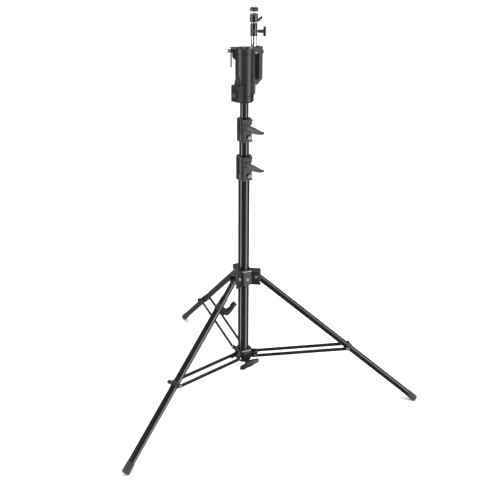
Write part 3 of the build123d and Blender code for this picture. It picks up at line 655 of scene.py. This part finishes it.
for level_name in ("lower", "upper"):
    lever = leaf_lever()
    lever.rotation_euler = (0, 0, LEVER_BEARING)
    lever.location = joint_called[f"{level_name}_clamp_lever"]["pos_m"]
    settle(lever)
    finish_piece(lever, f"{level_name}_leaf_lever", f"{level_name}_lever", lever_coat)

# %% [markdown]
# ## Feet
#
# A moulded rubber cap is pushed over each leg. Its ribs stop the leg from skating and let the
# thin wall stretch over the tube. The sole is cut level, worn flat by the floor. The cap is
# drawn out ring by ring like lathe work, laid along its leg, then cut by the floor plane.

# %% Ribbed feet
TIP_LENGTH = 34
TIP_WALL = 1.0
TIP_WEAR = 2.2
RIBS = 5
RIB_PITCH = 4.4
LEG_END_RADIUS = {"right": 10, "rear": 10, "level": 11}
down_level_leg = -Vector(joint_called["levelling"]["axis"]).normalized()
true_slope = atan2(-down_level_leg.z, sqrt(down_level_leg.x ** 2 + down_level_leg.y ** 2))


def foot_outline(cap):
    """Ribs of a cap of a given radius, from its mouth to its rounded end."""
    rings = [(cap - 0.7, 0), (cap, 0.7), (cap, 5)]
    for rib in range(RIBS):
        low = 5 + rib * RIB_PITCH
        rings += [(cap - 0.6, low + 0.5), (cap - 0.6, low + 1.5), (cap, low + 2.0),
                  (cap, low + RIB_PITCH)]
    return rings + [(cap, 31), (cap - 0.5, 32.7), (cap - 1.6, 33.7), (cap - 3, TIP_LENGTH)]


for leg, bearing in LEG_BEARINGS.items():
    cap = LEG_END_RADIUS[leg] + TIP_WALL
    down = Vector((cos(true_slope) * cos(radians(bearing)),
                   cos(true_slope) * sin(radians(bearing)), -sin(true_slope)))
    hinge = Vector(joint_called[f"{leg}_leg_hinge"]["pos_m"])
    end = (hinge.z / MM + TIP_WEAR - cap * cos(true_slope)) / sin(true_slope)
    foot = turned(foot_outline(cap), 56)
    point_along(foot, hinge + down * (end - TIP_LENGTH) * MM, down)
    only(foot)
    bpy.ops.object.mode_set(mode="EDIT")
    bpy.ops.mesh.select_all(action="SELECT")
    bpy.ops.mesh.bisect(plane_co=(0, 0, 0), plane_no=(0, 0, 1), use_fill=True,
                        clear_inner=True)
    bpy.ops.object.mode_set(mode="OBJECT")
    finish_piece(foot, f"{leg}_ribbed_foot", f"{leg}_foot", foot_rubber, smooth=50)

# %% [markdown]
# ## Camera disc
#
# The disc that the camera sits on is turned aluminium with a knurled rim, so fingers can
# spin it up against the camera. Real knurling is rolled in as a row of fine ridges. Here each
# rim face is inset and sunk, which leaves the walls between them standing as ridges.

# %% Knurled disc and its pad
disc_low, disc_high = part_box("mount_disc")
pin_x = (disc_low.x + disc_high.x) / 2
pin_y = (disc_low.y + disc_high.y) / 2
disc_height = (disc_high.z - disc_low.z) / MM
print("camera disc", round((disc_high.x - disc_low.x) / MM, 1), "mm across")
disc = turned(((9.6, 0), (10.8, 0.5), (11.9, 1.9), (11.9, disc_height - 2.2),
               (11.3, disc_height - 1.1), (10.7, disc_height)), 60)
bpy.ops.object.mode_set(mode="EDIT")
select_faces(disc, lambda centre, normal: abs(normal.z) < 0.1)
bpy.ops.mesh.inset(thickness=0.28 * MM, depth=-0.45 * MM, use_individual=True)
bpy.ops.object.mode_set(mode="OBJECT")
point_along(disc, (pin_x, pin_y, disc_low.z), (0, 0, 1))
finish_piece(disc, "knurled_disc", "mount_disc", anodised)

pad_low, pad_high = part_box("disc_pad")
pad_height = (pad_high.z - pad_low.z) / MM
pad = turned(((10.4, 0), (10.4, pad_height - 0.3), (10.1, pad_height), (8.6, pad_height),
              (8.4, pad_height - 0.35), (7.4, pad_height - 0.35), (7.2, pad_height),
              (5.6, pad_height), (5.4, pad_height - 0.35), (3.4, pad_height - 0.35)), 56)
point_along(pad, (pin_x, pin_y, pad_low.z), (0, 0, 1))
finish_piece(pad, "ringed_disc_pad", "disc_pad", foot_rubber)

# %% [markdown]
# ## Ball housing and receiver
#
# The housing and the receiver are lathe work in aluminium bar: chamfered ends, a thin waist
# where the parts screw together, and turned lines that help the grip. The housing keeps its
# notch, so it stays as measured and only gains a ring; the lines are thin bands of their own.

# %% Turned bands
housing_low, housing_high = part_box("ball_housing")
receiver_low, receiver_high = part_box("receiver")


def band(part, name, radius, height, width, finish):
    """A thin raised ring round the pin's axis at a height in metres."""
    ring = turned(((radius - 0.5, 0), (radius + 0.25, 0.3), (radius + 0.25, width - 0.3),
                   (radius - 0.5, width)), 72)
    point_along(ring, (pin_x, pin_y, height), (0, 0, 1))
    finish_piece(ring, name, part, finish, hides=False)


band("ball_housing", "housing_grip_band", 11.6, housing_low.z + 2.0 * MM, 2.2, anodised)
band("receiver", "receiver_foot_band", 10, receiver_low.z + 1.2 * MM, 2.4, anodised)

# %% [markdown]
# ## T-knob
#
# The T-knob is glass-filled nylon moulded round a steel screw. The bar is rounded all over so
# it can be turned hard without hurting, and the neck flares towards the bar. The bar starts as
# a box that is bevelled and drawn in towards its ends, and the neck is drawn out ring by ring.

# %% T-knob
knob_joint = joint_called["receiver_knob"]
knob_out = Vector(knob_joint["axis"]).normalized()
knob_place = Vector(knob_joint["pos_m"])
neck = turned(((3.3, 11), (3.9, 11.6), (4.3, 15), (4.9, 17), (4.9, 18), (4.5, 18.4),
               (4.2, 20), (4.6, 20.4), (4.8, 24), (4.8, 28)), 48)
settle(neck)
bpy.ops.object.select_all(action="DESELECT")
bpy.ops.mesh.primitive_cube_add(size=1, location=(0, 0, 31 * MM),
                                scale=(27.5 * MM, 8 * MM, 8 * MM))
bar = bpy.context.object
settle(bar)
bpy.ops.object.mode_set(mode="EDIT")
bpy.ops.mesh.select_all(action="SELECT")
bpy.ops.mesh.subdivide(number_cuts=2)
select_faces(bar, lambda centre, normal: abs(centre.x) > 12 * MM)
bpy.ops.transform.resize(value=(1, 0.94, 0.86))
bpy.ops.object.mode_set(mode="OBJECT")
round_edges(bar, 1.8 * MM, 4, 40)
t_grip = join_all([neck, bar])
up = Vector((0, 0, 1))
# Known fault: this frame is left-handed, so it leaves the knob's faces pointing inwards.
turn_out = Matrix((up, knob_out.cross(up) * -1, knob_out)).transposed()
t_grip.matrix_world = Matrix.Translation(knob_place) @ turn_out.to_4x4()
settle(t_grip)
finish_piece(t_grip, "moulded_t_knob", "t_knob", knob_plastic, smooth=45)

# %% [markdown]
# ## Wings
#
# Three wings are cast plates: one locks the spigot, one the sliding collar and one the
# levelling tube. Their outline is already right, but a casting has no sharp corner, because
# molten metal doesn't fill one. A copy of each is merged into one skin and its corners
# are rounded with a bevel.

# %% Round the wings
def rounded_copy(part, width):
    """A copy of a CAD part with its corners rounded."""
    piece = nodes[part].copy()
    piece.data = nodes[part].data.copy()
    bpy.context.scene.collection.objects.link(piece)
    piece.parent = None
    piece.matrix_world = Matrix.Identity(4)
    only(piece)
    bpy.ops.object.mode_set(mode="EDIT")
    bpy.ops.mesh.select_all(action="SELECT")
    bpy.ops.mesh.remove_doubles(threshold=0.01 * MM)
    bpy.ops.mesh.dissolve_limited(angle_limit=radians(2))
    bpy.ops.object.mode_set(mode="OBJECT")
    round_edges(piece, width, 3, 40)
    return piece


for part, name, width in (("brace_lever", "collar_wing", 1.3 * MM),
                          ("level_lever", "levelling_wing", 1.3 * MM),
                          ("lock_lever", "spigot_wing", 0.8 * MM)):
    finish_piece(rounded_copy(part, width), name, part, cast_coat)

# %% [markdown]
# ## Brace knobs and washers
#
# Where a brace meets its leg, a domed cap covers the end of the rivet on one side and a
# nut closes it on the other, over a pressed washer. Small round parts like these catch the
# light all round, so they read from far away.

# %% Domed caps and washers
for leg, bearing in LEG_BEARINGS.items():
    sideways = Vector((-sin(radians(bearing)), cos(radians(bearing)), 0))
    low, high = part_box(f"{leg}_brace_bolt")
    centre = (low + high) / 2
    outward = -sideways if leg == "level" else sideways
    dome = turned(((6.6, -2.4), (6.6, -1.5), (5.9, -1.3), (6.0, 2.4), (5.6, 3.8), (4.6, 4.8),
                   (3.0, 5.4), (1.2, 5.6)), 48)
    point_along(dome, centre, outward)
    finish_piece(dome, f"{leg}_brace_dome", f"{leg}_brace_bolt", knob_plastic)
    low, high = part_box(f"{leg}_brace_nut")
    centre = (low + high) / 2
    washer = turned(((5.9, 0), (6.2, 0.3), (6.0, 0.9), (4.6, 1.1)), 40)
    point_along(washer, centre + outward * -0.4 * MM, -outward)
    finish_piece(washer, f"{leg}_brace_washer", f"{leg}_brace_nut", chrome, hides=False)
